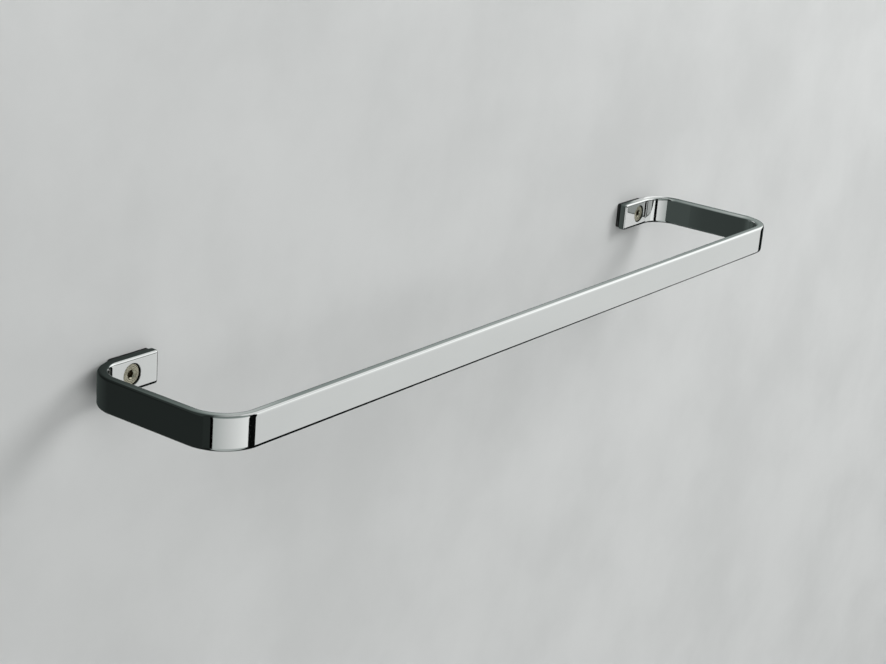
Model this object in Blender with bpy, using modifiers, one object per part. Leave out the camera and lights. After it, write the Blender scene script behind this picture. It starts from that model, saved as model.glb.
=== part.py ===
"""Towel bar: one flat bar bent into a rail and screwed to a wall through its two feet.

Lengths are in metres and +Z is up. X runs along the bar, the wall is the plane Y = 0
and the room lies towards -Y. The origin is on the wall, midway between the feet and
at half the height of the bar.

The rail is one length of flat bar with four bends: two in front, where the long bar
turns into the arms, and two at the wall, where the arms turn inwards into the feet.
Each foot rests on a thin pad and is held by a countersunk screw with a hexagonal
socket, which runs through the pad into a toothed nylon plug in the wall.
"""
import math

import bmesh
import bpy

# The rail, measured over its outer faces
RAIL_LENGTH = 0.600
RAIL_REACH = 0.108
BAR_HEIGHT = 0.020
BAR_THICKNESS = 0.006
BAR_EDGE_RADIUS = 0.0015
FRONT_BEND_INNER_RADIUS = 0.020
WALL_BEND_INNER_RADIUS = 0.016
FOOT_LENGTH = 0.053

# The screw's place in the foot, and the hole round it
HOLE_TO_FOOT_END = 0.020
HEAD_RECESS = 0.0009
HEAD_CLEARANCE = 0.0004
SHANK_CLEARANCE = 0.0004
HOLE_EDGE_BREAK = 0.0002

# The fixing screw
SCREW_LENGTH = 0.060
SCREW_DIAMETER = 0.006
SCREW_HEAD_DIAMETER = 0.012
SCREW_HEAD_RIM = 0.0005
SCREW_HEAD_EDGE_BREAK = 0.0002
SCREW_CONE_ANGLE = math.radians(90.0)
SCREW_POINT_LENGTH = 0.007
SOCKET_WIDTH = 0.004
SOCKET_SIDES = 6
SOCKET_DEPTH = 0.0026
SOCKET_MOUTH_CHAMFER = 0.00035
SOCKET_POINT_DEPTH = 0.0006
SOCKET_POINT_CLEARANCE = 0.0003

# The pad between a foot and the wall
PAD_THICKNESS = 0.0022
PAD_INSET = 0.0008
PAD_CORNER_RADIUS = 0.0018
PAD_EDGE_CHAMFER = 0.0003
PAD_HOLE_CLEARANCE = 0.0004

# The plug in the wall
PLUG_LENGTH = 0.050
PLUG_DIAMETER = 0.010
PLUG_NECK_LENGTH = 0.012
PLUG_MOUTH_CHAMFER = 0.0005
PLUG_TOOTH_DEPTH = 0.0008
PLUG_NOSE_LENGTH = 0.003
PLUG_SLIT_WIDTH = 0.0014
PLUG_FIN_HEIGHT = 0.0014
PLUG_FIN_LENGTH = 0.007
PLUG_FIN_THICKNESS = 0.0014
PLUG_TOOTH_COUNT = 8

# What neighbouring pieces keep between them, how far a cutter overruns what it cuts,
# and how close two points lie that are one
SEAT_GAP = 0.0003
CUT_OVERRUN = 0.001
WELD_DISTANCE = 0.00001

# How finely round shapes are divided
BEND_STEPS = 20
CORNER_STEPS = 6
TURNED_STEPS = 48
PLUG_STEPS = 32
EDGE_SEGMENTS = 5
PAD_EDGE_SEGMENTS = 1
SMOOTH_ANGLE = math.radians(30.0)
FLAT_ANGLE = math.radians(0.5)

# Places along Y that follow from the pad and the bar
FOOT_BACK_Y = -(PAD_THICKNESS + SEAT_GAP)
FOOT_FACE_Y = FOOT_BACK_Y - BAR_THICKNESS
SCREW_HEAD_Y = FOOT_FACE_Y + HEAD_RECESS

# Places along X, on the right-hand side
FOOT_END_X = RAIL_LENGTH / 2 - FOOT_LENGTH
HOLE_X = FOOT_END_X + HOLE_TO_FOOT_END
WALL_BEND_OUTER_RADIUS = WALL_BEND_INNER_RADIUS + BAR_THICKNESS
FRONT_BEND_OUTER_RADIUS = FRONT_BEND_INNER_RADIUS + BAR_THICKNESS
FOOT_FLAT_END_X = RAIL_LENGTH / 2 - WALL_BEND_OUTER_RADIUS

# Turned pieces are modelled standing on Z and laid down so that +Z points into the room
LAID_DOWN = (math.radians(90.0), 0.0, 0.0)
HALF_TURN = math.radians(180.0)


def clear_scene():
    """Remove every object, so that the script starts from an empty scene."""
    for thing in list(bpy.data.objects):
        bpy.data.objects.remove(thing, do_unlink=True)


def make_collection(name):
    """Return a new collection that is linked to the scene."""
    collection = bpy.data.collections.new(name)
    bpy.context.scene.collection.children.link(collection)
    return collection


def make_material(name, color, roughness, metallic):
    """Return a plain Principled material."""
    material = bpy.data.materials.new(name)
    material.use_nodes = True
    shader = material.node_tree.nodes["Principled BSDF"]
    shader.inputs["Base Color"].default_value = (*color, 1.0)
    shader.inputs["Roughness"].default_value = roughness
    shader.inputs["Metallic"].default_value = metallic
    return material


def add_object(name, data, collection):
    """Put a mesh, a curve or nothing (an empty) into a collection as a named object."""
    thing = bpy.data.objects.new(name, data)
    collection.objects.link(thing)
    return thing


def arc_points(centre, radius, start_degrees, end_degrees, steps):
    """Return the points of an arc round centre, both ends included."""
    points = []
    for step in range(steps + 1):
        angle = math.radians(start_degrees + (end_degrees - start_degrees) * step / steps)
        points.append((centre[0] + radius * math.cos(angle), centre[1] + radius * math.sin(angle)))
    return points


def finished_mesh(thing):
    """Return the evaluated mesh of an object, welded and with its flat faces whole."""
    graph = bpy.context.evaluated_depsgraph_get()
    mesh = bpy.data.meshes.new_from_object(thing.evaluated_get(graph))
    work = bmesh.new()
    work.from_mesh(mesh)
    bmesh.ops.remove_doubles(work, verts=work.verts, dist=WELD_DISTANCE)
    bmesh.ops.dissolve_limit(
        work,
        angle_limit=FLAT_ANGLE,
        verts=work.verts,
        edges=work.edges,
    )
    work.to_mesh(mesh)
    work.free()
    return mesh


def flat_plate(name, outlines, thickness, collection):
    """Return a plate of the given thickness from closed outlines; later ones are holes."""
    curve = bpy.data.curves.new(name, "CURVE")
    curve.dimensions = "2D"
    curve.fill_mode = "BOTH"
    curve.extrude = thickness / 2
    for outline in outlines:
        spline = curve.splines.new("POLY")
        spline.points.add(len(outline) - 1)
        for point, (x, y) in zip(spline.points, outline):
            point.co = (x, y, 0.0, 1.0)
        spline.use_cyclic_u = True
    drawn = add_object(name, curve, collection)
    mesh = finished_mesh(drawn)
    bpy.data.objects.remove(drawn, do_unlink=True)
    bpy.data.curves.remove(curve)
    return add_object(name, mesh, collection)


def turned_piece(name, profile, steps, closed, collection):
    """Return a solid turned round Z from (radius, height) points, top to bottom outside."""
    mesh = bpy.data.meshes.new(name)
    edges = [(index, index + 1) for index in range(len(profile) - 1)]
    if closed:
        edges.append((len(profile) - 1, 0))
    mesh.from_pydata([(radius, 0.0, height) for radius, height in profile], edges, [])
    turned = add_object(name, mesh, collection)
    screw = turned.modifiers.new("turn", "SCREW")
    screw.axis = "Z"
    screw.steps = steps
    screw.render_steps = steps
    screw.use_merge_vertices = True
    screw.merge_threshold = WELD_DISTANCE
    screw.use_smooth_shade = False
    return turned


def round_edges(thing, radius, segments):
    """Round every sharp edge of an object."""
    bevel = thing.modifiers.new("round_edges", "BEVEL")
    bevel.width = radius
    bevel.segments = segments
    bevel.limit_method = "ANGLE"
    bevel.angle_limit = SMOOTH_ANGLE


def combine(thing, other, operation):
    """Add an exact Boolean between an object and another one, which becomes a guide."""
    boolean = thing.modifiers.new(other.name, "BOOLEAN")
    boolean.operation = operation
    boolean.solver = "EXACT"
    boolean.object = other
    other.hide_render = True
    other.display_type = "WIRE"


def shade(mesh):
    """Shade round faces smooth and keep sharp edges sharp."""
    mesh.shade_smooth()
    mesh.set_sharp_from_angle(angle=SMOOTH_ANGLE)


def rail_outline():
    """Return the rail seen from above as one closed outline, foot end to foot end."""
    side_x = RAIL_LENGTH / 2
    front_centre = (
        side_x - FRONT_BEND_OUTER_RADIUS,
        FRONT_BEND_OUTER_RADIUS - RAIL_REACH,
    )
    wall_centre = (
        side_x - WALL_BEND_OUTER_RADIUS,
        FOOT_BACK_Y - WALL_BEND_OUTER_RADIUS,
    )
    right_half = arc_points(front_centre, FRONT_BEND_OUTER_RADIUS, -90, 0, BEND_STEPS)
    right_half += arc_points(wall_centre, WALL_BEND_OUTER_RADIUS, 0, 90, BEND_STEPS)
    right_half += [(FOOT_END_X, FOOT_BACK_Y), (FOOT_END_X, FOOT_FACE_Y)]
    right_half += arc_points(wall_centre, WALL_BEND_INNER_RADIUS, 90, 0, BEND_STEPS)
    right_half += arc_points(front_centre, FRONT_BEND_INNER_RADIUS, 0, -90, BEND_STEPS)
    left_half = [(-x, y) for x, y in reversed(right_half)]
    return right_half + left_half


def make_hole_cutter(side, cutters):
    """Return the cutter of a foot's countersunk hole: recess, cone and shank hole."""
    recess_radius = SCREW_HEAD_DIAMETER / 2 + HEAD_CLEARANCE
    shank_radius = SCREW_DIAMETER / 2 + SHANK_CLEARANCE
    half_cone = SCREW_CONE_ANGLE / 2
    # The head's cone and the hole's cone stay one seat gap apart, square to the cone
    head_cone_top = HEAD_RECESS + SCREW_HEAD_RIM
    cone_shift = (HEAD_CLEARANCE - SEAT_GAP / math.cos(half_cone)) / math.tan(half_cone)
    cone_top = head_cone_top - cone_shift
    cone_bottom = cone_top + (recess_radius - shank_radius) / math.tan(half_cone)
    profile = [
        (0.0, CUT_OVERRUN),
        (recess_radius + HOLE_EDGE_BREAK + CUT_OVERRUN, CUT_OVERRUN),
        (recess_radius, -HOLE_EDGE_BREAK),
        (recess_radius, -cone_top),
        (shank_radius, -cone_bottom),
        (shank_radius, -BAR_THICKNESS - CUT_OVERRUN),
        (0.0, -BAR_THICKNESS - CUT_OVERRUN),
    ]
    cutter = turned_piece("hole_cutter", profile, TURNED_STEPS, False, cutters)
    cutter.rotation_euler = LAID_DOWN
    cutter.location = (side * HOLE_X, FOOT_FACE_Y, 0.0)
    return cutter


def make_rail(parts, cutters, material):
    """Make the bent bar with its rounded edges and its two countersunk holes."""
    rail = flat_plate("rail", [rail_outline()], BAR_HEIGHT, parts)
    round_edges(rail, BAR_EDGE_RADIUS, EDGE_SEGMENTS)
    for side in (-1, 1):
        combine(rail, make_hole_cutter(side, cutters), "DIFFERENCE")
    shade(rail.data)
    rail.data.materials.append(material)


def make_socket_cutters(cutters):
    """Return the cutters of the screw's socket: mouth chamfer, hexagon and drill point."""
    inner_radius = SOCKET_WIDTH / 2
    corner_radius = inner_radius / math.cos(math.pi / SOCKET_SIDES)
    mouth_radius = corner_radius + SOCKET_MOUTH_CHAMFER
    mouth = [
        (0.0, CUT_OVERRUN),
        (mouth_radius + CUT_OVERRUN, CUT_OVERRUN),
        (inner_radius, inner_radius - mouth_radius),
        (0.0, inner_radius - mouth_radius),
    ]
    point_top = SOCKET_POINT_DEPTH - SOCKET_DEPTH
    point = [
        (0.0, point_top),
        (inner_radius - SOCKET_POINT_CLEARANCE, point_top),
        (0.0, -SOCKET_DEPTH - SOCKET_POINT_DEPTH),
    ]
    hexagon = bpy.data.meshes.new("socket_hexagon")
    work = bmesh.new()
    bmesh.ops.create_cone(
        work,
        cap_ends=True,
        segments=SOCKET_SIDES,
        radius1=corner_radius,
        radius2=corner_radius,
        depth=SOCKET_DEPTH + CUT_OVERRUN,
    )
    work.to_mesh(hexagon)
    work.free()
    hexagon_cutter = add_object("socket_hexagon", hexagon, cutters)
    hexagon_cutter.location = (0.0, 0.0, (CUT_OVERRUN - SOCKET_DEPTH) / 2)
    return [
        turned_piece("socket_mouth", mouth, TURNED_STEPS, False, cutters),
        hexagon_cutter,
        turned_piece("socket_point", point, TURNED_STEPS, False, cutters),
    ]


def screw_mesh(cutters):
    """Return the mesh of a fixing screw that stands on Z with its head face at zero."""
    head_radius = SCREW_HEAD_DIAMETER / 2
    shank_radius = SCREW_DIAMETER / 2
    cone_bottom = SCREW_HEAD_RIM + (head_radius - shank_radius) / math.tan(SCREW_CONE_ANGLE / 2)
    profile = [
        (0.0, 0.0),
        (head_radius - SCREW_HEAD_EDGE_BREAK, 0.0),
        (head_radius, -SCREW_HEAD_EDGE_BREAK),
        (head_radius, -SCREW_HEAD_RIM),
        (shank_radius, -cone_bottom),
        (shank_radius, SCREW_POINT_LENGTH - SCREW_LENGTH),
        (0.0, -SCREW_LENGTH),
    ]
    blank = turned_piece("screw_blank", profile, TURNED_STEPS, False, cutters)
    for cutter in make_socket_cutters(cutters):
        combine(blank, cutter, "DIFFERENCE")
    mesh = finished_mesh(blank)
    bpy.data.objects.remove(blank, do_unlink=True)
    mesh.name = "fixing_screw"
    return mesh


def pad_mesh(collection):
    """Return the mesh of a pad, flat on XY, with the screw's axis at the origin.

    Its long side runs towards -X, to the foot's end, and its top is the foot's side.
    """
    foot_end = -HOLE_TO_FOOT_END + PAD_INSET
    flat_end = FOOT_FLAT_END_X - HOLE_X
    half_height = BAR_HEIGHT / 2 - PAD_INSET
    corners = [
        (flat_end, -half_height, -90),
        (flat_end, half_height, 0),
        (foot_end, half_height, 90),
        (foot_end, -half_height, 180),
    ]
    outline = []
    for x, y, start in corners:
        centre_x = x - math.copysign(PAD_CORNER_RADIUS, x)
        centre_y = y - math.copysign(PAD_CORNER_RADIUS, y)
        outline += arc_points(
            (centre_x, centre_y), PAD_CORNER_RADIUS, start, start + 90, CORNER_STEPS
        )
    # The hole clears the plug's mouth, so that the pad lies flat where a plug stands proud
    hole_radius = PLUG_DIAMETER / 2 + PAD_HOLE_CLEARANCE
    hole = arc_points((0.0, 0.0), hole_radius, 0, -360, TURNED_STEPS)[:-1]
    pad = flat_plate("pad_blank", [outline, hole], PAD_THICKNESS, collection)
    round_edges(pad, PAD_EDGE_CHAMFER, PAD_EDGE_SEGMENTS)
    mesh = finished_mesh(pad)
    bpy.data.objects.remove(pad, do_unlink=True)
    mesh.name = "wall_pad"
    return mesh


def plug_profile():
    """Return the plug's section: chamfered mouth, neck, saw teeth, nose and bore."""
    radius = PLUG_DIAMETER / 2
    root_radius = radius - PLUG_TOOTH_DEPTH
    bore_radius = SCREW_DIAMETER / 2 + SEAT_GAP
    tooth_pitch = (PLUG_LENGTH - PLUG_NECK_LENGTH - PLUG_NOSE_LENGTH) / PLUG_TOOTH_COUNT
    profile = [(radius - PLUG_MOUTH_CHAMFER, 0.0), (radius, -PLUG_MOUTH_CHAMFER)]
    profile.append((radius, -PLUG_NECK_LENGTH))
    for tooth in range(PLUG_TOOTH_COUNT):
        top = -PLUG_NECK_LENGTH - tooth_pitch * tooth
        # Each tooth slopes in towards the nose, so that the plug slides in and not out
        if tooth > 0:
            profile.append((radius, top))
        profile.append((root_radius, top - tooth_pitch))
    profile.append((root_radius - PLUG_MOUTH_CHAMFER, -PLUG_LENGTH))
    profile.append((bore_radius, -PLUG_LENGTH))
    profile.append((bore_radius, -PLUG_MOUTH_CHAMFER))
    profile.append((bore_radius + PLUG_MOUTH_CHAMFER, 0.0))
    return profile


def plug_mesh(cutters):
    """Return the mesh of a plug that stands on Z with its mouth at zero."""
    blank = turned_piece("plug_blank", plug_profile(), PLUG_STEPS, True, cutters)
    radius = PLUG_DIAMETER / 2
    for side in (-1, 1):
        inside = side * (radius - PLUG_TOOTH_DEPTH)
        tip = side * (radius + PLUG_FIN_HEIGHT)
        top = -PLUG_NECK_LENGTH + PLUG_FIN_LENGTH / 2
        outline = [
            (inside, top),
            (tip, top),
            (inside, top - PLUG_FIN_LENGTH),
        ]
        fin = flat_plate("plug_fin", [outline], PLUG_FIN_THICKNESS, cutters)
        fin.rotation_euler = LAID_DOWN
        combine(blank, fin, "UNION")
    slit_length = PLUG_LENGTH - PLUG_NECK_LENGTH + CUT_OVERRUN
    slit_mesh = bpy.data.meshes.new("plug_slit")
    work = bmesh.new()
    bmesh.ops.create_cube(work, size=1.0)
    bmesh.ops.scale(
        work,
        vec=(PLUG_SLIT_WIDTH, PLUG_DIAMETER + CUT_OVERRUN, slit_length),
        verts=work.verts,
    )
    work.to_mesh(slit_mesh)
    work.free()
    slit = add_object("plug_slit", slit_mesh, cutters)
    slit.location = (0.0, 0.0, -PLUG_NECK_LENGTH - slit_length / 2)
    combine(blank, slit, "DIFFERENCE")
    mesh = finished_mesh(blank)
    bpy.data.objects.remove(blank, do_unlink=True)
    mesh.name = "wall_plug"
    return mesh


def add_side(side, word, meshes, parts):
    """Place one side's pad, plug and screw on an empty that stands on the screw's axis."""
    axis = add_object(word + "_screw_axis", None, parts)
    axis.location = (side * HOLE_X, 0.0, 0.0)
    # The pieces are drawn for the right-hand side and turned half round for the left
    if side < 0:
        axis.rotation_euler = (0.0, HALF_TURN, 0.0)
    places = {
        "wall_pad": -PAD_THICKNESS / 2,
        "wall_plug": SEAT_GAP,
        "fixing_screw": SCREW_HEAD_Y,
    }
    for kind, y in places.items():
        piece = add_object(kind + "_" + word, meshes[kind], parts)
        piece.parent = axis
        piece.location = (0.0, y, 0.0)
        piece.rotation_euler = LAID_DOWN


def main():
    clear_scene()
    parts = make_collection("towel_bar")
    cutters = make_collection("cutters")
    chrome = make_material("polished_chrome", (0.80, 0.82, 0.82), 0.05, 1.0)
    steel = make_material("stainless_steel", (0.58, 0.57, 0.50), 0.32, 1.0)
    rubber = make_material("black_rubber", (0.012, 0.013, 0.013), 0.75, 0.0)
    nylon = make_material("grey_nylon", (0.48, 0.50, 0.51), 0.50, 0.0)
    make_rail(parts, cutters, chrome)
    meshes = {
        "fixing_screw": screw_mesh(cutters),
        "wall_pad": pad_mesh(cutters),
        "wall_plug": plug_mesh(cutters),
    }
    finishes = {"fixing_screw": steel, "wall_pad": rubber, "wall_plug": nylon}
    for kind, mesh in meshes.items():
        shade(mesh)
        mesh.materials.clear()
        mesh.materials.append(finishes[kind])
    add_side(-1, "left", meshes, parts)
    add_side(1, "right", meshes, parts)


main()
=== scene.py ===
# %% [markdown]
# # A towel bar bent from one flat bar
#
# The real object is a strip of chromed flat bar, 20 mm high and 6 mm thick. It is bent
# four times: twice in front, where the long bar turns into the two arms, and twice at the
# wall, where each arm turns inwards into a foot. A countersunk screw with a hexagonal
# socket goes through each foot and a thin pad into a nylon plug in the wall.
#
# This script dresses a model that already has every size. It keeps the places of the
# pieces and remakes their surfaces finely enough for polished metal to mirror.

# %% Load the fixed frame
import math

import bmesh
import bpy
from mathutils import Matrix, Vector


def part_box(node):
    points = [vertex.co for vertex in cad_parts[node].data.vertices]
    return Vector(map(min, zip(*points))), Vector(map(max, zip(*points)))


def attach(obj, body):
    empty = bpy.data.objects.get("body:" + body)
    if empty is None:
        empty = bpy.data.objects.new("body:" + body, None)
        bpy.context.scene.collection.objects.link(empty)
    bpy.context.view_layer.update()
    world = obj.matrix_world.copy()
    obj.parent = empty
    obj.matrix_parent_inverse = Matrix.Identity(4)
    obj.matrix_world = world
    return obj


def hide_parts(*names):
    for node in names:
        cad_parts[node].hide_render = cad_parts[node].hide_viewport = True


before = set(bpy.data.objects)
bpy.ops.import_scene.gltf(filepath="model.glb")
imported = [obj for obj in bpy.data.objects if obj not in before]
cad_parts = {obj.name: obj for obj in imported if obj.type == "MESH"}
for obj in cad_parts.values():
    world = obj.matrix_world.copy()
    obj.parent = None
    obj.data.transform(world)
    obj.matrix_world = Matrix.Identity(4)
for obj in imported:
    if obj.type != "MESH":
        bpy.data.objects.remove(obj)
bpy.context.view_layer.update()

print("pieces in the frame:", ", ".join(sorted(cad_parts)))

# %% [markdown]
# ## Sizes
#
# Whatever the frame can tell is read from it: how long and how deep the rail is, where a
# screw's axis lies, how thick a pad is. The rest are the sizes of a section, a bend and a
# screw, which a maker would read off a drawing. Lengths are in metres. X runs along the
# bar, the wall is the plane Y = 0 with the room on the -Y side, and Z is up.

# %% Read the sizes
BAR_THICKNESS = 0.006
FRONT_BEND_RADIUS = 0.020
WALL_BEND_RADIUS = 0.016
SCREW_DIAMETER = 0.006
SCREW_HEAD_RIM = 0.0005
HEAD_CLEARANCE = 0.0004
SHANK_CLEARANCE = 0.0004

rail_low, rail_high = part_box("rail")
screw_low, screw_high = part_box("fixing_screw_right")
pad_low, pad_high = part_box("wall_pad_right")
plug_low, plug_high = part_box("wall_plug_right")

SIDE_X = rail_high.x
FRONT_Y = rail_low.y
FOOT_BACK_Y = rail_high.y
FOOT_FACE_Y = FOOT_BACK_Y - BAR_THICKNESS
BAR_HEIGHT = rail_high.z - rail_low.z
FRONT_BEND_OUTSIDE = FRONT_BEND_RADIUS + BAR_THICKNESS
WALL_BEND_OUTSIDE = WALL_BEND_RADIUS + BAR_THICKNESS
SCREW_X = (screw_low.x + screw_high.x) / 2
SCREW_HEAD_RADIUS = (screw_high.x - screw_low.x) / 2
SCREW_HEAD_Y = screw_low.y
SCREW_LENGTH = screw_high.y - screw_low.y
PAD_INSET = (BAR_HEIGHT - (pad_high.z - pad_low.z)) / 2
FOOT_END_X = pad_low.x - PAD_INSET
print("screw axis at", round(1000 * SCREW_X, 1), "mm")
print("foot ends at", round(1000 * FOOT_END_X, 1), "mm")

# %% [markdown]
# ## Shader maths as plain expressions
#
# A finish is a sum of small effects: a base value, some haze, some scratches. Nodes wired
# by hand hide that sum. The first class below holds one material and adds any node by its
# type. The second wraps one output of a node, so that `haze * 0.1 + 0.04` writes the Math
# nodes by itself. Colours and vectors have methods of their own, because a Math node
# would turn a colour grey.

# %% Two small classes for finishes
class Finish:
    """A material that is being made, with its Principled shader."""

    def __init__(self, name):
        self.material = bpy.data.materials.new(name)
        self.material.use_nodes = True
        self.nodes = self.material.node_tree.nodes
        self.links = self.material.node_tree.links
        self.shader = self.nodes["Principled BSDF"]

    def feed(self, socket, value):
        """Give a socket a number, a colour or the output of another node."""
        if isinstance(value, Field):
            self.links.new(value.socket, socket)
        elif socket.type == "RGBA":
            socket.default_value = (*value, 1.0)
        else:
            socket.default_value = value

    def node(self, kind, settings=None, inputs=None, output=0):
        """Add a node, apply its settings, feed its sockets and return one output."""
        added = self.nodes.new(kind)
        for name, value in (settings or {}).items():
            setattr(added, name, value)
        for name, value in (inputs or {}).items():
            self.feed(added.inputs[name], value)
        return Field(self, added.outputs[output])

    def set(self, **values):
        """Set the shader's own sockets: base_color=..., coat_weight=... and so on."""
        for name, value in values.items():
            spoken = name.replace("_", " ")
            self.feed(next(s for s in self.shader.inputs if s.name.lower() == spoken), value)

    def place(self):
        """Return where a point is, in the object's own coordinates."""
        return self.node("ShaderNodeTexCoord", output="Object")

    def stored(self, name, output):
        """Return a value stored in the mesh, as its Vector, Color or Fac output."""
        return self.node("ShaderNodeAttribute", {"attribute_name": name}, output=output)

    def noise(self, where, scale, detail=2.0, roughness=0.5):
        """Return soft cloudy noise from 0 to 1; scale counts its cells in a metre."""
        sizes = {"Vector": where, "Scale": scale, "Detail": detail, "Roughness": roughness}
        return self.node("ShaderNodeTexNoise", {}, sizes)

    def bump(self, height, strength, depth, under=None):
        """Return a normal that leans as the height does; depth is in metres."""
        inputs = {"Height": height, "Strength": strength, "Distance": depth}
        if under is not None:
            inputs["Normal"] = under
        return self.node("ShaderNodeBump", {}, inputs)


class Field:
    """One output of a node, which takes part in sums like a number."""

    def __init__(self, finish, socket):
        self.finish = finish
        self.socket = socket

    def maths(self, operation, *values):
        inputs = dict(enumerate(values))
        return self.finish.node("ShaderNodeMath", {"operation": operation}, inputs)

    def __add__(self, other):
        return self.maths("ADD", self, other)

    def __sub__(self, other):
        return self.maths("SUBTRACT", self, other)

    def __rsub__(self, other):
        return self.maths("SUBTRACT", other, self)

    def __mul__(self, other):
        return self.maths("MULTIPLY", self, other)

    __radd__ = __add__
    __rmul__ = __mul__

    def wave(self):
        """Return the sine of this."""
        return self.maths("SINE", self)

    def between(self, low, high):
        """Return 0 below low, 1 above high and a smooth step from one to the other."""
        settings = {"interpolation_type": "SMOOTHSTEP"}
        inputs = {"Value": self, "From Min": low, "From Max": high}
        return self.finish.node("ShaderNodeMapRange", settings, inputs)

    def stretched(self, along, across, up):
        """Return this place with each of its three directions scaled."""
        inputs = {0: self, 1: (along, across, up)}
        return self.finish.node("ShaderNodeVectorMath", {"operation": "MULTIPLY"}, inputs)

    def part(self, name):
        """Return the X, Y or Z of this place."""
        return self.finish.node("ShaderNodeSeparateXYZ", {}, {"Vector": self}, name)

    def mix(self, first, second):
        """Return the first colour where this is 0 and the second where it is 1."""
        inputs = {0: self, 6: first, 7: second}
        return self.finish.node("ShaderNodeMix", {"data_type": "RGBA"}, inputs, 2)


# %% [markdown]
# ## Helpers for shapes
#
# An outline drawn in the plane and given a thickness makes bent flat bar and pads. A
# profile turned round an axis makes the cutter of a hole, and a Boolean takes it out. Each
# helper settles its modifiers at once, so that what follows works on plain meshes.

# %% Helpers for shapes
# Points closer than WELD are joined, a point within NEAR of a surface lies on it, and a
# cutter passes what it cuts by OVERRUN
WELD = 0.000001
NEAR = 0.00001
OVERRUN = 0.001

# Faces that meet at less than FLAT are one face, and at more than SHARP they form an edge
FLAT = math.radians(0.2)
SHARP = math.radians(30.0)
ARC_PROFILE = 0.5
WEIGHT_OF_LARGE_FACES = 100


def arc(centre, radius, start, end, steps):
    """Return the points of an arc round a centre, from one angle in degrees to another."""
    turns = [math.radians(start + (end - start) * step / steps) for step in range(steps + 1)]
    return [(centre[0] + radius * math.cos(a), centre[1] + radius * math.sin(a)) for a in turns]


def linked(name, mesh):
    """Return a new object in the scene."""
    thing = bpy.data.objects.new(name, mesh)
    bpy.context.scene.collection.objects.link(thing)
    return thing


def settled(thing):
    """Replace an object's data by the mesh that its modifiers make."""
    graph = bpy.context.evaluated_depsgraph_get()
    mesh = bpy.data.meshes.new_from_object(thing.evaluated_get(graph))
    name, place = thing.name, thing.matrix_world.copy()
    bpy.data.objects.remove(thing)
    mesh.transform(place)
    return linked(name, mesh)


def cleaned(thing):
    """Weld an object's mesh and join the triangles of its flat faces."""
    work = bmesh.new()
    work.from_mesh(thing.data)
    bmesh.ops.remove_doubles(work, verts=work.verts, dist=WELD)
    bmesh.ops.dissolve_limit(work, angle_limit=FLAT, verts=work.verts, edges=work.edges)
    work.to_mesh(thing.data)
    work.free()
    return thing


def plate(name, outlines, thickness):
    """Return a flat plate round Z = 0 from closed outlines; later ones are holes."""
    curve = bpy.data.curves.new(name, "CURVE")
    curve.dimensions = "2D"
    curve.fill_mode = "BOTH"
    curve.extrude = thickness / 2
    for outline in outlines:
        spline = curve.splines.new("POLY")
        spline.points.add(len(outline) - 1)
        for point, (x, y) in zip(spline.points, outline):
            point.co = (x, y, 0.0, 1.0)
        spline.use_cyclic_u = True
    return cleaned(settled(linked(name, curve)))


def turned(name, profile, steps):
    """Return a solid turned round Z from (radius, height) points, from top to bottom."""
    mesh = bpy.data.meshes.new(name)
    edges = [(index, index + 1) for index in range(len(profile) - 1)]
    mesh.from_pydata([(radius, 0.0, height) for radius, height in profile], edges, [])
    lathe = linked(name, mesh).modifiers.new("lathe", "SCREW")
    lathe.steps = lathe.render_steps = steps
    lathe.use_merge_vertices = True
    lathe.merge_threshold = WELD
    return settled(bpy.data.objects[name])


def rounded(thing, radius, segments, profile=ARC_PROFILE):
    """Round every sharp edge; a profile above an arc's is fuller in its middle."""
    bevel = thing.modifiers.new("rounding", "BEVEL")
    bevel.width = radius
    bevel.segments = segments
    bevel.profile = profile
    bevel.limit_method = "ANGLE"
    bevel.angle_limit = SHARP
    bevel.use_clamp_overlap = False
    return settled(thing)


def cut(thing, cutter):
    """Cut one solid out of another and use the cutter up."""
    boolean = thing.modifiers.new("cut", "BOOLEAN")
    boolean.operation = "DIFFERENCE"
    boolean.solver = "EXACT"
    boolean.object = cutter
    result = settled(thing)
    bpy.data.objects.remove(cutter)
    return result


def smooth(thing, limit=SHARP):
    """Shade round faces smooth, keep flat ones flat and leave edges past the limit sharp."""
    thing.data.shade_smooth()
    thing.data.set_sharp_from_angle(angle=limit)
    even = thing.modifiers.new("even_normals", "WEIGHTED_NORMAL")
    even.keep_sharp = True
    even.weight = WEIGHT_OF_LARGE_FACES
    return settled(thing)


def hand_over(thing, node, finish):
    """Let a finished piece stand for a node of the frame."""
    thing.name = node + "_finished"
    thing.data.materials.clear()
    thing.data.materials.append(finish.material)
    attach(thing, "root")
    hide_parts(node)
    print(thing.name, "has", len(thing.data.polygons), "faces")


# %% [markdown]
# ## The rail
#
# A bender starts with a straight strip whose long edges are already rounded, and folds it
# round a former. Drawing it needs only the view from above: a U whose ends turn inwards,
# drawn once as an outline and given the height of the bar. A sweep along a path would also
# do, but the outline gives exact flats between the bends, and polished flats show every
# fault. One bevel then rounds all the edges, the ends of the feet included. A grinding
# belt and a mop take off more than a small even radius, so the rounding reaches far into
# the faces and stays full in its middle.

# %% Draw and round the rail
BEND_STEPS = 64
EDGE_STEPS = 14
EDGE_REACH = 0.0024
EDGE_PROFILE = 0.6


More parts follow.
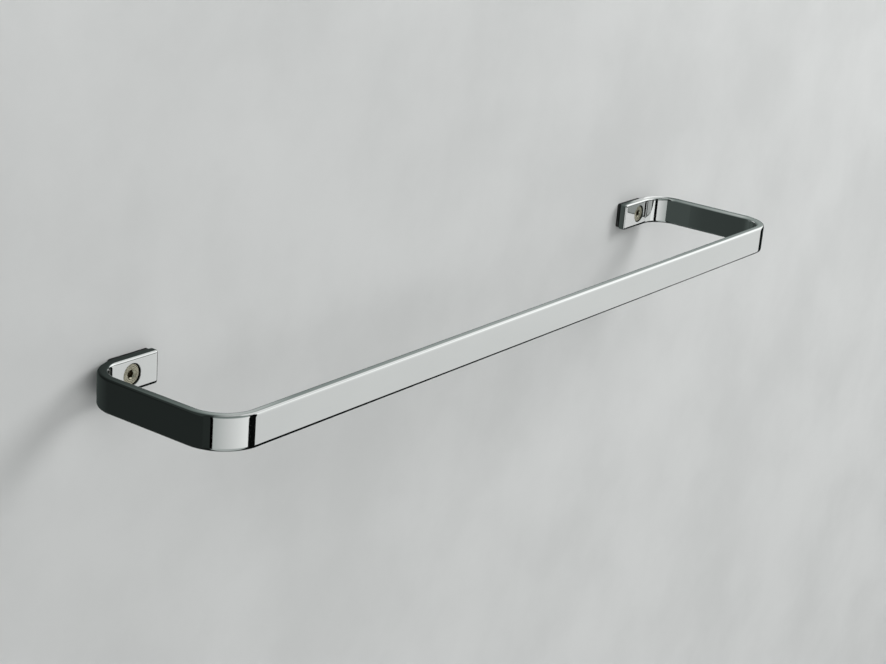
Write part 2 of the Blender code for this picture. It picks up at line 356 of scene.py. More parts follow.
def rail_outline():
    """Return the rail seen from above, as one closed outline."""
    front = (SIDE_X - FRONT_BEND_OUTSIDE, FRONT_Y + FRONT_BEND_OUTSIDE)
    back = (SIDE_X - WALL_BEND_OUTSIDE, FOOT_BACK_Y - WALL_BEND_OUTSIDE)
    right = arc(front, FRONT_BEND_OUTSIDE, -90, 0, BEND_STEPS)
    right += arc(back, WALL_BEND_OUTSIDE, 0, 90, BEND_STEPS)
    right += [(FOOT_END_X, FOOT_BACK_Y), (FOOT_END_X, FOOT_FACE_Y)]
    right += arc(back, WALL_BEND_RADIUS, 90, 0, BEND_STEPS)
    right += arc(front, FRONT_BEND_RADIUS, 0, -90, BEND_STEPS)
    return right + [(-x, y) for x, y in reversed(right)]


rail = plate("rail_blank", [rail_outline()], BAR_HEIGHT)
rail = rounded(rail, EDGE_REACH, EDGE_STEPS, EDGE_PROFILE)
print("rail outline has", len(rail_outline()), "points")

# %% [markdown]
# ## Countersunk holes
#
# A countersink bit leaves a short straight recess, a cone and the shank's hole. The cutter
# below is that hole as one turned profile. The polisher's mop then takes the sharpness
# off the mouth, so only the edge round the mouth is rounded afterwards.

# %% Cut the two holes
MOUTH_RADIUS = 0.0003
MOUTH_STEPS = 5
TURN_STEPS = 96
RECESS_RADIUS = SCREW_HEAD_RADIUS + HEAD_CLEARANCE


def hole_profile():
    """Return the hole's profile, mouth at height 0 and the shank's hole below it."""
    shank = SCREW_DIAMETER / 2 + SHANK_CLEARANCE
    cone_top = SCREW_HEAD_Y - FOOT_FACE_Y + SCREW_HEAD_RIM + HEAD_CLEARANCE
    cone_bottom = cone_top + RECESS_RADIUS - shank
    bottom = -BAR_THICKNESS - OVERRUN
    return [(0.0, OVERRUN), (RECESS_RADIUS, OVERRUN), (RECESS_RADIUS, -cone_top),
            (shank, -cone_bottom), (shank, bottom), (0.0, bottom)]


def from_screw_axis(place):
    """Return how far a point lies from the axis of the screw on its side."""
    return math.hypot(abs(place.x) - SCREW_X, place.z)


def round_mouths(thing):
    """Round the edges where the two holes open in the feet."""
    work = bmesh.new()
    work.from_mesh(thing.data)
    rim = [vertex for vertex in work.verts if abs(vertex.co.y - FOOT_FACE_Y) < NEAR
           and abs(from_screw_axis(vertex.co) - RECESS_RADIUS) < NEAR]
    edges = [edge for edge in work.edges if all(vertex in rim for vertex in edge.verts)]
    bmesh.ops.bevel(work, geom=edges, offset=MOUTH_RADIUS, segments=MOUTH_STEPS,
                    profile=ARC_PROFILE, affect="EDGES")
    work.to_mesh(thing.data)
    work.free()
    print("edges round the mouths:", len(edges))


def laid_down(thing, x, y):
    """Turn a piece that stands on Z so that its top looks into the room, and place it."""
    turn = Matrix.Rotation(math.radians(90.0), 4, "X")
    thing.data.transform(Matrix.Translation((x, y, 0.0)) @ turn)
    return thing


for side in (-1, 1):
    cutter = turned("hole_cutter", hole_profile(), TURN_STEPS)
    rail = cut(rail, laid_down(cutter, side * SCREW_X, FOOT_FACE_Y))
rail = cleaned(rail)
round_mouths(rail)
rail = smooth(rail)

# %% [markdown]
# ## The grain remembers the straight strip
#
# The bar is ground and polished along its length, before it is bent or on a belt that
# follows it. Marks in the finish therefore run round the bends with the metal. The rail
# gets a stored place for every point: how far it lies along the strip, how far outwards
# from its middle, and how high. A finish that reads this place sees an unbent strip.

# %% Store the place along the strip
def along_and_out(x, y):
    """Return how far a point lies along the strip's right half, and out of its middle."""
    half = BAR_THICKNESS / 2
    front = (SIDE_X - FRONT_BEND_OUTSIDE, FRONT_Y + FRONT_BEND_OUTSIDE)
    back = (SIDE_X - WALL_BEND_OUTSIDE, FOOT_BACK_Y - WALL_BEND_OUTSIDE)
    arm_start = front[0] + (FRONT_BEND_RADIUS + half) * math.pi / 2
    arm_end = arm_start + back[1] - front[1]
    foot_start = arm_end + (WALL_BEND_RADIUS + half) * math.pi / 2
    if y < front[1] and x <= front[0]:
        return x, FRONT_Y + half - y
    if y < front[1]:
        turn = math.atan2(x - front[0], front[1] - y)
        out = math.hypot(x - front[0], y - front[1]) - FRONT_BEND_RADIUS - half
        return front[0] + turn * (FRONT_BEND_RADIUS + half), out
    if y <= back[1]:
        return arm_start + y - front[1], x - SIDE_X + half
    if x > back[0]:
        turn = math.atan2(y - back[1], x - back[0])
        out = math.hypot(x - back[0], y - back[1]) - WALL_BEND_RADIUS - half
        return arm_end + turn * (WALL_BEND_RADIUS + half), out
    return foot_start + back[0] - x, y - FOOT_BACK_Y + half


def store_strip_place(thing):
    """Store each point's place on the unbent strip as an attribute of the mesh."""
    places = thing.data.attributes.new("strip_place", "FLOAT_VECTOR", "POINT")
    longest = 0.0
    for vertex, place in zip(thing.data.vertices, places.data):
        along, out = along_and_out(abs(vertex.co.x), vertex.co.y)
        place.vector = (math.copysign(along, vertex.co.x), out, vertex.co.z)
        longest = max(longest, along)
    return longest


def store_hole_shade(thing):
    """Store 1 on the walls of the two holes, where the chrome gets painted shade, and 0 everywhere
    else.
    """
    shade = thing.data.attributes.new("hole_shade", "FLOAT", "POINT")
    for vertex, stored in zip(thing.data.vertices, shade.data):
        deep = FOOT_FACE_Y + MOUTH_RADIUS - NEAR < vertex.co.y < FOOT_BACK_Y
        stored.value = float(deep and from_screw_axis(vertex.co) < RECESS_RADIUS + NEAR)


print("strip before bending:", round(2000 * store_strip_place(rail), 1), "mm")
store_hole_shade(rail)

# %% [markdown]
# ## Polished chrome
#
# Chrome reflects a little over half of the light and adds almost no colour of its own, so
# the base colour is a mid grey and the metallic value is 1. What makes it metal and not a
# perfect mirror is small: the plating follows faint waves left by the belt, long hairline
# scratches run with the strip, and handling leaves a thin haze that widens the highlights
# in patches. Plating reaches poorly into a hole and no mop polishes it there, so the
# holes' walls are duller, and their dark base colour is painted shade for the recess.
# Each of those is one line below.

# %% Make the chrome
CHROME_COLOR = (0.575, 0.585, 0.580)
CHROME_DULLED = (0.545, 0.555, 0.550)
# Painted shade: the holes' walls get a near-black base colour for the shadow inside them
CHROME_PAINTED_HOLE_SHADE = (0.07, 0.07, 0.06)
CHROME_ROUGHNESS = 0.03
HOLE_ROUGHNESS = 0.3
HAIRLINE_DEPTH = 0.000002
WAVE_DEPTH = 0.00004

chrome = Finish("polished_chrome")
strip = chrome.stored("strip_place", "Vector")
in_hole = chrome.stored("hole_shade", "Fac")
haze = chrome.noise(strip.stretched(1.0, 3.0, 3.0), 9.0, 4.0, 0.6).between(0.35, 0.75)
smears = chrome.noise(strip.stretched(0.5, 6.0, 6.0), 30.0, 3.0, 0.55).between(0.45, 0.70)
hairlines = chrome.noise(strip.stretched(30.0, 4200.0, 4200.0), 1.0, 3.0, 0.6).between(0.60, 0.74)
rubs = chrome.noise(strip.stretched(9.0, 800.0, 800.0), 1.0, 2.0, 0.5).between(0.60, 0.76)
pits = chrome.noise(strip, 2600.0, 1.0, 0.5).between(0.70, 0.78)
waves = chrome.noise(strip.stretched(1.0, 1.6, 1.6), 14.0, 1.0, 0.4)
plated = (haze * 0.6 + pits * 0.4).mix(CHROME_COLOR, CHROME_DULLED)
marks = haze * 0.025 + smears * 0.02 + hairlines * 0.07 + rubs * 0.03 + pits * 0.03
chrome.set(
    # Painted shade darkens the holes' walls
    base_color=in_hole.mix(plated, CHROME_PAINTED_HOLE_SHADE),
    metallic=1.0,
    roughness=marks + in_hole * HOLE_ROUGHNESS + CHROME_ROUGHNESS,
    normal=chrome.bump(hairlines, 0.15, HAIRLINE_DEPTH, chrome.bump(waves, 1.0, WAVE_DEPTH)),
)
hand_over(rail, "rail", chrome)

# %% [markdown]
# ## The fixing screws
#
# A countersunk screw has a flat head with a conical underside, a hexagonal socket pressed
# into it and a rolled thread. All of it is one skin wrapped round the axis: ring after
# ring, each with its own radius and depth. A hexagon is a ring whose radius changes with
# the angle. A thread is many rings whose radius depends on height and angle together,
# because at each turn the ridge has moved down by one pitch.

# %% The socket and the head
SCREW_STEPS = 72
SOCKET_SIDES = 6
SOCKET_WIDTH = 0.004
SOCKET_DEPTH = 0.0026
SOCKET_POINT_DEPTH = 0.0006
SOCKET_DRILL_SHARE = 0.4
SOCKET_MOUTH = 0.00045
HEAD_EDGE_BREAK = 0.0002
HEAD_EDGE_STEPS = 4
FACING_PITCH = 0.0009
FACING_HEIGHT = 0.000012
FACING_STEPS = 8


def hexagon_radius(step):
    """Return how far from the axis the hexagon's side lies at one step round the screw."""
    sector = 2 * math.pi / SOCKET_SIDES
    turn = (2 * math.pi * step / SCREW_STEPS) % sector - sector / 2
    return SOCKET_WIDTH / 2 / math.cos(turn)


def socket_rings():
    """Return the socket's rings of (radius, depth), from its floor up to its chamfer."""
    sides = [hexagon_radius(step) for step in range(SCREW_STEPS)]
    mouth = max(sides) + SOCKET_MOUTH
    drilled = [(SOCKET_WIDTH * SOCKET_DRILL_SHARE, SOCKET_DEPTH)] * SCREW_STEPS
    floor = [(side, SOCKET_DEPTH) for side in sides]
    chamfer = [(side, mouth - side) for side in sides]
    return [drilled, floor, chamfer, [(mouth, 0.0)] * SCREW_STEPS]


def head_rings(mouth):
    """Return the head's rings of (radius, depth), from the socket's mouth to the shank."""
    face = SCREW_HEAD_RADIUS - HEAD_EDGE_BREAK - mouth
    count = round(face / FACING_PITCH * FACING_STEPS)
    pairs = []
    for step in range(1, count + 1):
        ripple = 0.5 - 0.5 * math.cos(2 * math.pi * step / FACING_STEPS)
        pairs.append((mouth + face * step / count, FACING_HEIGHT * ripple))
    for step in range(1, HEAD_EDGE_STEPS + 1):
        turn = math.pi / 2 * step / HEAD_EDGE_STEPS
        radius = SCREW_HEAD_RADIUS - HEAD_EDGE_BREAK * (1.0 - math.sin(turn))
        pairs.append((radius, HEAD_EDGE_BREAK * (1.0 - math.cos(turn))))
    cone_end = SCREW_HEAD_RIM + SCREW_HEAD_RADIUS - SHANK_RADIUS
    pairs.append((SCREW_HEAD_RADIUS, SCREW_HEAD_RIM))
    pairs.append((SHANK_RADIUS + HEAD_EDGE_BREAK, cone_end - HEAD_EDGE_BREAK))
    pairs.append((SHANK_RADIUS, cone_end + HEAD_EDGE_BREAK))
    return [[pair] * SCREW_STEPS for pair in pairs]


# %% [markdown]
# ### Thread and point
#
# A screw for wood and nylon has a thin ridge on a thick core, a plain shank under its head
# and a point. The ridge fades in below the shank, and the whole narrows towards the tip.

# %% Wrap the skin
SHANK_RADIUS = 0.00215
CORE_RADIUS = 0.0018
CREST_RADIUS = 0.0030
THREAD_PITCH = 0.0026
THREAD_START = 0.016
THREAD_RUN_IN = 0.003
POINT_LENGTH = 0.008
RIDGE_START = 0.35
RIDGE_HOLLOW = 1.3
POINT_FULLNESS = 0.8
ROWS_PER_PITCH = 16
SCREW_SHARP = math.radians(40.0)


def thread_radius(depth, turn):
    """Return the screw's radius at a depth below its head and at a share of a turn."""
    point = min(1.0, (SCREW_LENGTH - depth) / POINT_LENGTH)
    run_in = min(1.0, max(0.0, (depth - THREAD_START) / THREAD_RUN_IN))
    flank = abs(2.0 * ((depth / THREAD_PITCH - turn) % 1.0) - 1.0)
    ridge = max(0.0, (flank - RIDGE_START) / (1.0 - RIDGE_START)) ** RIDGE_HOLLOW
    body = SHANK_RADIUS + (CORE_RADIUS - SHANK_RADIUS) * run_in
    return (body + (CREST_RADIUS - body) * ridge * run_in) * point ** POINT_FULLNESS


def thread_rings(start):
    """Return the rings of (radius, depth) from the shank to just above the tip."""
    rows = int((SCREW_LENGTH - start) / THREAD_PITCH * ROWS_PER_PITCH)
    rings = []
    for row in range(1, rows):
        depth = start + (SCREW_LENGTH - start) * row / rows
        turns = [step / SCREW_STEPS for step in range(SCREW_STEPS)]
        rings.append([(thread_radius(depth, turn), depth) for turn in turns])
    return rings


def wrapped(name, rings, first_depth, last_depth):
    """Return a closed skin over rings round Z, with a point of its own at either end."""
    work = bmesh.new()
    grid = []
    for ring in rings:
        line = []
        for step, (radius, depth) in enumerate(ring):
            turn = 2 * math.pi * step / len(ring)
            line.append(work.verts.new((radius * math.cos(turn), radius * math.sin(turn), -depth)))
        grid.append(line)
    first = work.verts.new((0.0, 0.0, -first_depth))
    last = work.verts.new((0.0, 0.0, -last_depth))
    for step in range(SCREW_STEPS):
        after = (step + 1) % SCREW_STEPS
        work.faces.new((first, grid[0][step], grid[0][after]))
        for upper, lower in zip(grid, grid[1:]):
            work.faces.new((upper[after], upper[step], lower[step], lower[after]))
        work.faces.new((grid[-1][after], grid[-1][step], last))
    bmesh.ops.recalc_face_normals(work, faces=work.faces)
    mesh = bpy.data.meshes.new(name)
    work.to_mesh(mesh)
    work.free()
    return linked(name, mesh)


rings = socket_rings()
rings += head_rings(rings[-1][0][0])
rings += thread_rings(rings[-1][0][1])
screw = wrapped("screw", rings, SOCKET_DEPTH + SOCKET_POINT_DEPTH, SCREW_LENGTH)
screw = smooth(screw, SCREW_SHARP)
print("the screw's skin has", len(rings), "rings and", len(screw.data.polygons), "faces")

# %% [markdown]
# ## Turned steel
#
# The head is faced on a lathe, so its marks are circles round the axis. The distance from
# the axis drives a fine wave: it leans the normal and roughens the metal a little in
# rings. The socket's walls are painted nearly black as painted shade in the deep recess;
# the depth below the face decides where that begins.

# %% Make the steel
STEEL_COLOR = (0.47, 0.45, 0.355)
STEEL_GRIMED = (0.25, 0.23, 0.16)
# Painted shade: the nearly black colour of the socket's deep walls
STEEL_PAINTED_SOCKET_SHADE = (0.22, 0.185, 0.125)
STEEL_ROUGHNESS = 0.24
SOCKET_SHADE_DEPTHS = (0.0006, 0.0013)
SOCKET_SHADE_SHARES = (0.55, 0.62)


def turned_steel(name):
    """Return the finish of a screw that was turned on a lathe; its axis is its own Z."""
    steel = Finish(name)
    here = steel.place()
    flat = here.stretched(1.0, 1.0, 0.0)
    radius = steel.node("ShaderNodeVectorMath", {"operation": "LENGTH"}, {0: flat}, "Value")
    wobble = steel.noise(here, 700.0, 2.0, 0.5)
    rings = (radius * (2 * math.pi / FACING_PITCH) + wobble * 0.7).wave()
    grime = steel.noise(here, 420.0, 4.0, 0.6).between(0.42, 0.72)
    inner, outer = (SOCKET_WIDTH * share for share in SOCKET_SHADE_SHARES)
    depth = (here.part("Z") * -1.0).between(*SOCKET_SHADE_DEPTHS)
    # Painted shade deep in the socket, near its axis
    painted_socket_shade = depth * (1.0 - radius.between(inner, outer))
    worn = (rings * 0.12 + grime * 0.65 + 0.12).mix(STEEL_COLOR, STEEL_GRIMED)
    steel.set(
        base_color=painted_socket_shade.mix(worn, STEEL_PAINTED_SOCKET_SHADE),
        metallic=1.0,
        roughness=rings * 0.06 + grime * 0.16 + STEEL_ROUGHNESS,
        normal=steel.bump(rings + grime * 0.4, 0.8, 0.00002),
    )
    return steel


steel = turned_steel("turned_steel")
for side, word in ((-1, "left"), (1, "right")):
    piece = linked("screw", screw.data.copy())
    piece.rotation_euler = (math.radians(90.0), 0.0, 0.0)
    piece.location = (side * SCREW_X, SCREW_HEAD_Y, 0.0)
    hand_over(piece, "fixing_screw_" + word, steel)
bpy.data.objects.remove(screw)

# %% [markdown]
# ## The pads
#
# A thin rubber pad keeps each foot off the wall. It is punched from sheet, so its faces
# are flat, its edges are soft, and its hole clears the plug's mouth. The same plate helper
# makes it, a little smaller than the foot on every side.

# %% Make the pads
PAD_CORNER_RADIUS = 0.0018
PAD_CORNER_STEPS = 8
PAD_EDGE_RADIUS = 0.0003
PAD_EDGE_STEPS = 4
# The pad's black is real rubber and also painted shade: it draws the dark shadow line beside each
# foot
RUBBER_COLOR = (0.010, 0.011, 0.011)
RUBBER_DUSTY = (0.045, 0.046, 0.045)
RUBBER_ROUGHNESS = 0.60
PAD_HOLE_RADIUS = (plug_high.z - plug_low.z) / 2 + HEAD_CLEARANCE
PAD_THICKNESS = pad_high.y - pad_low.y


def pad_outlines(side):
    """Return the pad's outline and its hole in the plane of the wall, as (x, z) points."""
    low = (pad_low.x + PAD_CORNER_RADIUS, pad_low.z + PAD_CORNER_RADIUS)
    high = (pad_high.x - PAD_CORNER_RADIUS, pad_high.z - PAD_CORNER_RADIUS)
    outline = []
    for quarter, centre in enumerate([(high[0], low[1]), high, (low[0], high[1]), low]):
        start = 90 * quarter - 90
        outline += arc(centre, PAD_CORNER_RADIUS, start, start + 90, PAD_CORNER_STEPS)
    hole = arc((SCREW_X, 0.0), PAD_HOLE_RADIUS, 0, 360, TURN_STEPS)[:-1]
    return [[(side * x, z) for x, z in points] for points in (outline, hole)]


rubber = Finish("black_rubber")
grain = rubber.noise(rubber.place(), 3800.0, 3.0, 0.6)
dust = rubber.noise(rubber.place(), 160.0, 4.0, 0.65).between(0.5, 0.8)
rubber.set(
    base_color=(dust * 0.8 + grain * 0.2).mix(RUBBER_COLOR, RUBBER_DUSTY),
    roughness=grain * 0.15 + dust * 0.10 + RUBBER_ROUGHNESS,
    normal=rubber.bump(grain, 0.5, 0.00006),
)


for side, word in ((-1, "left"), (1, "right")):
    pad = plate("pad_blank", pad_outlines(side), PAD_THICKNESS)
    pad = smooth(rounded(pad, PAD_EDGE_RADIUS, PAD_EDGE_STEPS))
    hand_over(laid_down(pad, 0.0, (pad_low.y + pad_high.y) / 2), "wall_pad_" + word, rubber)

# %% [markdown]
# ## The wall plugs
#
# The plugs are moulded nylon with teeth that grip the hole. Their shape is right in the
# frame already, so each piece starts as a copy of its solid. A mould leaves no sharp
# edges, so a small rounding goes on all of them. The finish is slightly cloudy plastic
# with a fine spark-eroded grain.

# %% Round and finish the plugs
PLUG_EDGE_RADIUS = 0.00012
PLUG_EDGE_STEPS = 2
NYLON_COLOR = (0.40, 0.42, 0.43)
NYLON_RUBBED = (0.50, 0.52, 0.53)
NYLON_ROUGHNESS = 0.36

nylon = Finish("grey_nylon")
cloud = nylon.noise(nylon.place(), 90.0, 3.0, 0.5)
spark = nylon.noise(nylon.place(), 5200.0, 2.0, 0.6)
rubbed = nylon.noise(nylon.place(), 700.0, 3.0, 0.6).between(0.55, 0.75)
nylon.set(
    base_color=(cloud.between(0.3, 0.7) * 0.7 + rubbed * 0.3).mix(NYLON_COLOR, NYLON_RUBBED),
    roughness=spark * 0.18 + cloud * 0.08 + rubbed * 0.08 + NYLON_ROUGHNESS,
    normal=nylon.bump(spark, 0.35, 0.00004),
)
for word in ("left", "right"):
    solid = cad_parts["wall_plug_" + word]
    blank = solid.data.copy()
    blank.transform(solid.matrix_world)
    plug = rounded(cleaned(linked("plug_blank", blank)), PLUG_EDGE_RADIUS, PLUG_EDGE_STEPS)
    hand_over(smooth(plug), "wall_plug_" + word, nylon)

# %% [markdown]
# ## The camera
#
# The photograph was taken from the left, from above and from close by with a short
# telephoto lens. The bar's four long edges, the arms and the feet fix that camera: its
# place, where it looks and how far it leans.

# %% Place the camera
CAMERA_PLACE = (-0.92527, -0.68038, 0.35335)
CAMERA_HEADING = math.radians(54.602)
CAMERA_TILT = math.radians(-18.756)
CAMERA_LEAN = math.radians(4.667)
CAMERA_LENS = 74.016

camera = bpy.data.objects.new("camera", bpy.data.cameras.new("camera"))
bpy.context.scene.collection.objects.link(camera)
camera.data.lens = CAMERA_LENS
camera.data.clip_start = 0.01
upright = Matrix.Rotation(math.radians(90) + CAMERA_TILT, 4, "X")
aim = Matrix.Rotation(-CAMERA_HEADING, 4, "Z") @ upright
camera.matrix_world = Matrix.Translation(CAMERA_PLACE) @ aim @ Matrix.Rotation(CAMERA_LEAN, 4, "Z")
bpy.context.scene.camera = camera
print("camera is", round(Vector(CAMERA_PLACE).length, 3), "m from the middle of the feet")

# %% [markdown]
# ## Wall and floor
#
# The bar belongs on a wall, so a pale one stands behind it and hides the plugs from the
# room. Seen from behind, the wall lets the view through, so that the plugs can be looked
# at. The floor is pale too and lies well below.

# %% Build the wall and the floor
WALL_COLOR = (0.66, 0.67, 0.665)
WALL_SHADE = (0.60, 0.61, 0.605)
FLOOR_COLOR = (0.74, 0.74, 0.735)
FLOOR_SHADE = (0.70, 0.70, 0.695)
PAINT_SHEEN = 0.2
FLOOR_Z = -1.2
FLOOR_REACH = 40.0
WALL_HALF_LENGTH = 3.0
WALL_TOP = 2.4


def show_front_only(finish, surface):
    """Show a surface from its front and let the view through from behind."""
    behind = finish.node("ShaderNodeNewGeometry", output="Backfacing")
    clear = finish.node("ShaderNodeBsdfTransparent")
    shown = finish.node("ShaderNodeMixShader", {}, {0: behind, 1: surface, 2: clear})
    finish.feed(finish.nodes["Material Output"].inputs["Surface"], shown)


def stage_plane(name, corners, finish):
    """Add a flat rectangle of the set, which isn't part of the object."""
    mesh = bpy.data.meshes.new(name)
    mesh.from_pydata(corners, [], [tuple(range(len(corners)))])
    mesh.materials.append(finish.material)
    plane = linked(name, mesh)
    plane.visible_glossy = False


paint = Finish("wall_paint")
plaster = paint.noise(paint.place(), 7.0, 5.0, 0.55).between(0.3, 0.7)
paint.set(
    base_color=plaster.mix(WALL_COLOR, WALL_SHADE),
    roughness=0.8,
    specular_ior_level=PAINT_SHEEN,
)
show_front_only(paint, Field(paint, paint.shader.outputs[0]))
left, right = -WALL_HALF_LENGTH, WALL_HALF_LENGTH
wall_foot = [(left, 0, FLOOR_Z), (right, 0, FLOOR_Z)]
stage_plane("wall", wall_foot + [(right, 0, WALL_TOP), (left, 0, WALL_TOP)], paint)

ground = Finish("floor_paint")
speckle = ground.noise(ground.place(), 5.0, 4.0, 0.5).between(0.3, 0.7)
ground.set(
    base_color=speckle.mix(FLOOR_COLOR, FLOOR_SHADE),
    roughness=0.7,
    specular_ior_level=PAINT_SHEEN,
)
corners = [(-1, -1), (1, -1), (1, 1), (-1, 1)]
stage_plane("floor", [(FLOOR_REACH * x, FLOOR_REACH * y, FLOOR_Z) for x, y in corners], ground)

# %% [markdown]
# ## Cards for the metal to mirror
#
# Polished metal has no look of its own: it shows its surroundings. In a studio those are
# cards and flags. A tall light panel to the right fills the long front face, black flags
# draw the lines that make the bends read as bends, and a dark wall gives the arms their
# deep tone. The cards below are shells round the bar whose brightness is stored in the
# mesh; they glow, so that brightness is painted light, which the metal shows as painted
# reflection. Only mirrored rays see them, and only from their front, so they neither shade
# the set nor stand in the picture. The bright ones glow with the tint of white paper and
# the dark ones with a cool slate grey. A bearing is counted from straight into the wall, 90
# degrees being to the right.

# %% Make a shell that glows
def card_finish():
    """Return the finish of a card, whose brightness is stored in its mesh."""
    card = Finish("card")
    light = card.node("ShaderNodeEmission", {}, {"Color": card.stored("glow", "Color")})
    show_front_only(card, light)
    return card


def step_up(value, low, high):
    """Return a smooth rise from 0 at low to 1 at high."""
    share = min(1.0, max(0.0, (value - low) / (high - low)))
    return share * share * (3.0 - 2.0 * share)


def graded(value, stops):
    """Return a level read off straight lines between (value, level) stops."""
    for (low, below), (high, above) in zip(stops, stops[1:]):
        if value < high:
            share = max(0.0, (value - low) / (high - low))
            return below + (above - below) * share
    return stops[-1][1]


def toned(level):
    """Return a card's light: cool slate where it is dark, plain paper where it is bright."""
    share = step_up(level, 0.0, 1.0)
    return [level * (dark + (pale - dark) * share) for dark, pale in zip(DARK_GLOW_TINT, BRIGHT_GLOW_TINT)]


def card(name, columns, rows, point, glow):
    """Stand a grid up from point(u, v), lit by glow(x, y, z); u and v run from 0 to 1."""
    work = bmesh.new()
    layer = work.verts.layers.float_color.new("glow")
    lines = []
    for row in range(rows + 1):
        line = []
        for column in range(columns + 1):
            place = point(column / columns, row / rows)
            vertex = work.verts.new(place)
            vertex[layer] = (*toned(glow(*place)), 1.0)
            line.append(vertex)
        lines.append(line)
    for low, high in zip(lines, lines[1:]):
        for column in range(columns):
            work.faces.new((low[column], low[column + 1], high[column + 1], high[column]))
    mesh = bpy.data.meshes.new(name)
    work.to_mesh(mesh)
    work.free()
    mesh.materials.append(CARD_FINISH.material)
    thing = linked(name, mesh)
    thing.visible_camera = False
    thing.visible_diffuse = False
    thing.visible_transmission = False
    thing.visible_volume_scatter = False
    thing.visible_shadow = False


BRIGHT_GLOW_TINT = (0.985, 1.0, 0.992)
DARK_GLOW_TINT = (0.82, 1.0, 0.94)
CARD_FINISH = card_finish()
CARD_FOOT = -1.66

# %% [markdown]
# ### The shell in front of the wall
#
# One shell holds the large, soft parts of the studio: the panel on the right, which grows
# brighter above eye level, and a greyer card on the left that fades towards the wall.

# %% Stand the shell up
SHELL_RADIUS = 3.4
SHELL_TOP = 9.0
SHELL_START = 88.0
SHELL_SWEEP = 184.0
SHELL_LEAST = 0.03

# Levels by the angle above eye level or by the bearing, both in degrees
PANEL_BY_RISE = ((-25, 0.92), (-14, 0.98), (0, 1.08), (60, 1.0))
GLARE_BY_RISE = ((0, 0.0), (14, 0.62), (26, 0.82), (31, 0.42), (38, 0.02), (60, 0.0))
GLARE_BY_BEARING = ((116, 1.0), (124, 0.85), (131, 0.57))
UPPER_BY_RISE = ((30, 1.7), (42, 1.25), (60, 1.0))
LEFT_BY_BEARING = ((165, 1.27), (190, 1.08), (250, 0.60))
LEFT_BY_RISE = ((2, 1.0), (10, 0.35), (40, 0.3))


def bearing_of(x, y):
    """Return the compass bearing of a point, from 0 to 360 degrees."""
    return math.degrees(math.atan2(x, y)) % 360.0


def shell_point(u, v):
    bearing = math.radians(SHELL_START + SHELL_SWEEP * u)
    height = CARD_FOOT + (SHELL_TOP - CARD_FOOT) * v * v
    return SHELL_RADIUS * math.sin(bearing), SHELL_RADIUS * math.cos(bearing), height


def shell_glow(x, y, z):
    bearing = bearing_of(x, y)
    rise = math.degrees(math.atan2(z, math.hypot(x, y)))
    panel = step_up(bearing, 96, 108) * (1 - step_up(bearing, 154, 162))
    glare = graded(rise, GLARE_BY_RISE) * graded(bearing, GLARE_BY_BEARING)
    panel *= graded(rise, PANEL_BY_RISE) + glare
    upper = step_up(rise, 4, 14) * (1 - step_up(bearing, 100, 112))
    upper *= graded(rise, UPPER_BY_RISE)
    left = step_up(bearing, 150, 158) * (1 - step_up(bearing, 248, 256))
    left *= graded(bearing, LEFT_BY_BEARING) * graded(rise, LEFT_BY_RISE)
    return SHELL_LEAST + max(panel, upper, left)


card("shell_card", 184, 60, shell_point, shell_glow)

# %% [markdown]
# ### Flags
#
# Flags are narrow and black, and their places matter, since each one becomes a line on a
# bend. Each is placed by the bearing under which a bend of the rail sees it. The front
# flag stands near, which moves its line along the right wall bend and not along the left
# front one. A last small flag keeps the right foot out of the arm beside it, and is clear
# from behind, so that the foot itself looks through it.

# %% Stand the flags
LEFT_CORNER = (-SIDE_X, FRONT_Y)
RIGHT_CORNER = (SIDE_X, FRONT_Y)
RIGHT_ARM = (0.294, -0.030)


def flag(name, seen_from, distance, bearings, heights, level):
    """Stand an upright card between two bearings, as seen from one place at one distance."""
    def point(u, v):
        bearing = math.radians(bearings[0] + (bearings[1] - bearings[0]) * u)
        x = seen_from[0] + distance * math.sin(bearing)
        y = seen_from[1] + distance * math.cos(bearing)
        return x, y, heights[0] + (heights[1] - heights[0]) * v

    card(name, 12, 2, point, lambda x, y, z: level)


flag("front_flag", LEFT_CORNER, 0.93, (143.0, 163.0), (CARD_FOOT, 0.6), 0.004)
flag("left_flag", LEFT_CORNER, 2.4, (247.5, 254.0), (CARD_FOOT, 1.2), 0.0)
flag("left_shade", LEFT_CORNER, 2.4, (254.0, 271.0), (CARD_FOOT, 1.2), 0.036)
flag("right_flag", RIGHT_CORNER, 0.5, (88.0, 110.0), (-0.6, 0.025), 0.01)
flag("arm_flag", RIGHT_ARM, 0.024, (281.0, 322.0), (-0.020, 0.010), 0.105)

# %% [markdown]
# ### The wall and the floor that the metal sees
#
# Close to the bar it is the wall that the metal mirrors: dark below the bar, darker still
# beside the left foot and just above the bar, where painted shade stands for the bar's
# shadow, and lighter above, where a painted sheen lies on it. Above and beside the right
# foot the bend throws a painted patch of light on the wall. The floor is dark on the right
# and grey in front and on the left, so that most of the bar stays bright when it is seen
# from the right.

# %% Lay the cards behind and below the bar
WALL_CARD_Y = -0.0004
WALL_CARD_REACH = 3.0
NEAR_TOP = 0.6
FLOOR_CARD_REACH = 4.0
FLOOR_DARK = 0.006
FLOOR_GREY = 0.6

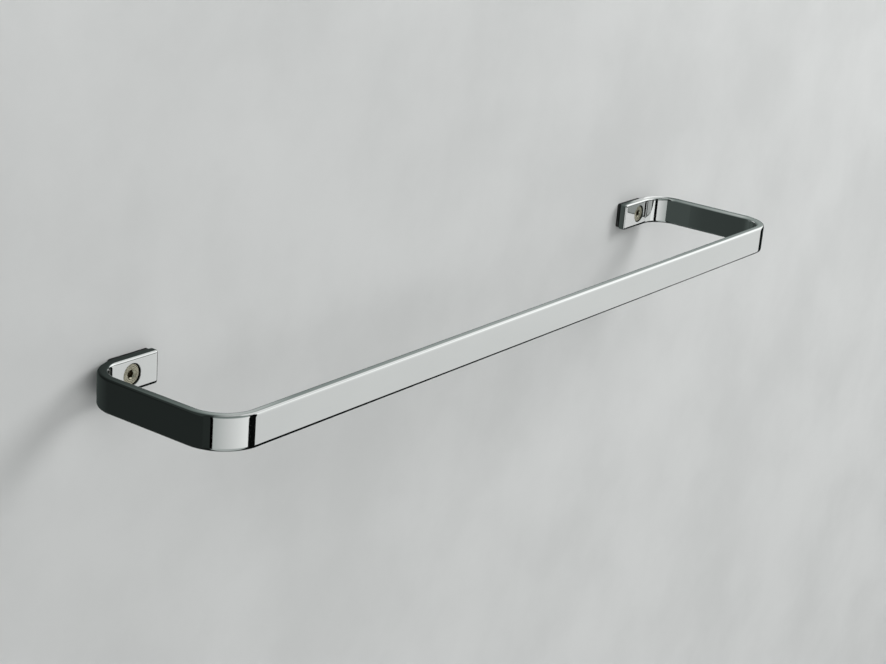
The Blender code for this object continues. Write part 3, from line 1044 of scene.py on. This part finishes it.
# Levels by the place along the wall, in metres
LOW_BY_X = ((-0.31, 0.030), (-0.29, 0.07), (-0.20, 0.09), (0.0, 0.06), (0.20, 0.072),
            (0.235, 0.10), (0.25, 0.125), (0.29, 0.125), (0.32, 0.08), (0.90, 0.05))
SHEEN_BY_X = ((-0.30, 0.05), (-0.28, 0.18), (-0.215, 0.28), (-0.175, 0.70), (-0.145, 0.60),
              (-0.12, 0.38), (-0.05, 0.42), (0.15, 0.56), (0.30, 0.48), (0.45, 0.40),
              (0.90, 0.60))
HIGH_BY_X = ((-0.32, 0.06), (-0.2, 0.45), (0.1, 1.1), (0.5, 1.5))
THROWN_BY_X = ((0.262, 0.0), (0.272, 0.75), (0.285, 0.8), (0.290, 1.4), (0.314, 1.4),
               (0.328, 0.0))


def along_wall(u):
    """Return how far to the right a share of the wall cards' width lies."""
    return WALL_CARD_REACH * (2 * u - 1)


def low_wall_point(u, v):
    return along_wall(u), WALL_CARD_Y, CARD_FOOT + (rail_high.z - CARD_FOOT) * v


def high_wall_point(u, v):
    return along_wall(u), WALL_CARD_Y, rail_high.z + (NEAR_TOP - rail_high.z) * v * v


def top_wall_point(u, v):
    return along_wall(u), WALL_CARD_Y, NEAR_TOP + (SHELL_TOP - NEAR_TOP) * v * v


def low_wall_glow(x, y, z):
    # Painted shade beside the left foot, painted light beside the right one
    return graded(x, LOW_BY_X)


def floor_point(u, v):
    return FLOOR_CARD_REACH * (2 * u - 1), FLOOR_CARD_REACH * (v - 1), CARD_FOOT


def floor_glow(x, y, z):
    bearing = bearing_of(x, y)
    grey = FLOOR_GREY * step_up(bearing, 168, 180) * (1 - step_up(bearing, 250, 256))
    return FLOOR_DARK + grey


def high_wall_glow(x, y, z):
    sheen = graded(x, SHEEN_BY_X)
    # Painted shade: the sheen dims just above the bar, where the bar shades the wall
    sheen *= 0.30 + 0.70 * step_up(z, 0.008, 0.075)
    high = graded(x, HIGH_BY_X)
    level = sheen + (high - sheen) * step_up(z, 0.07, 0.32)
    thrown = graded(x, THROWN_BY_X)
    return max(level, thrown * (1 - step_up(z, 0.018, 0.035)))


card("low_wall_card", 300, 8, low_wall_point, low_wall_glow)
card("high_wall_card", 1200, 40, high_wall_point, high_wall_glow)
card("top_wall_card", 60, 20, top_wall_point, high_wall_glow)
card("floor_card", 160, 80, floor_point, floor_glow)

# %% [markdown]
# ## Light
#
# Two large soft lamps light the set from the right and from the front, and the pale
# surroundings fill the shade. They stay at a plain level, at which a colour looks as it
# was written.

# %% Light the set
ROOM_COLOR = (0.80, 0.81, 0.81)
ROOM_LEVEL = 0.62


def soft_lamp(name, place, target, size, power):
    """Add a square lamp that looks at a target."""
    data = bpy.data.lights.new(name, "AREA")
    data.shape = "SQUARE"
    data.size = size
    data.energy = power
    lamp = bpy.data.objects.new(name, data)
    bpy.context.scene.collection.objects.link(lamp)
    lamp.location = place
    lamp.rotation_euler = (Vector(target) - Vector(place)).to_track_quat("-Z", "Y").to_euler()
    lamp.visible_camera = False
    lamp.visible_glossy = False


soft_lamp("key_lamp", (1.7, -1.3, 1.5), (0.1, 0.0, 0.0), 1.2, 38.0)
soft_lamp("fill_lamp", (-1.2, -2.2, 1.0), (0.0, 0.0, 0.0), 1.8, 14.0)

world = bpy.data.worlds.new("pale_room")
world.use_nodes = True
background = world.node_tree.nodes["Background"]
background.inputs["Color"].default_value = (*ROOM_COLOR, 1.0)
background.inputs["Strength"].default_value = ROOM_LEVEL
bpy.context.scene.world = world
bpy.context.scene.view_settings.view_transform = "Standard"
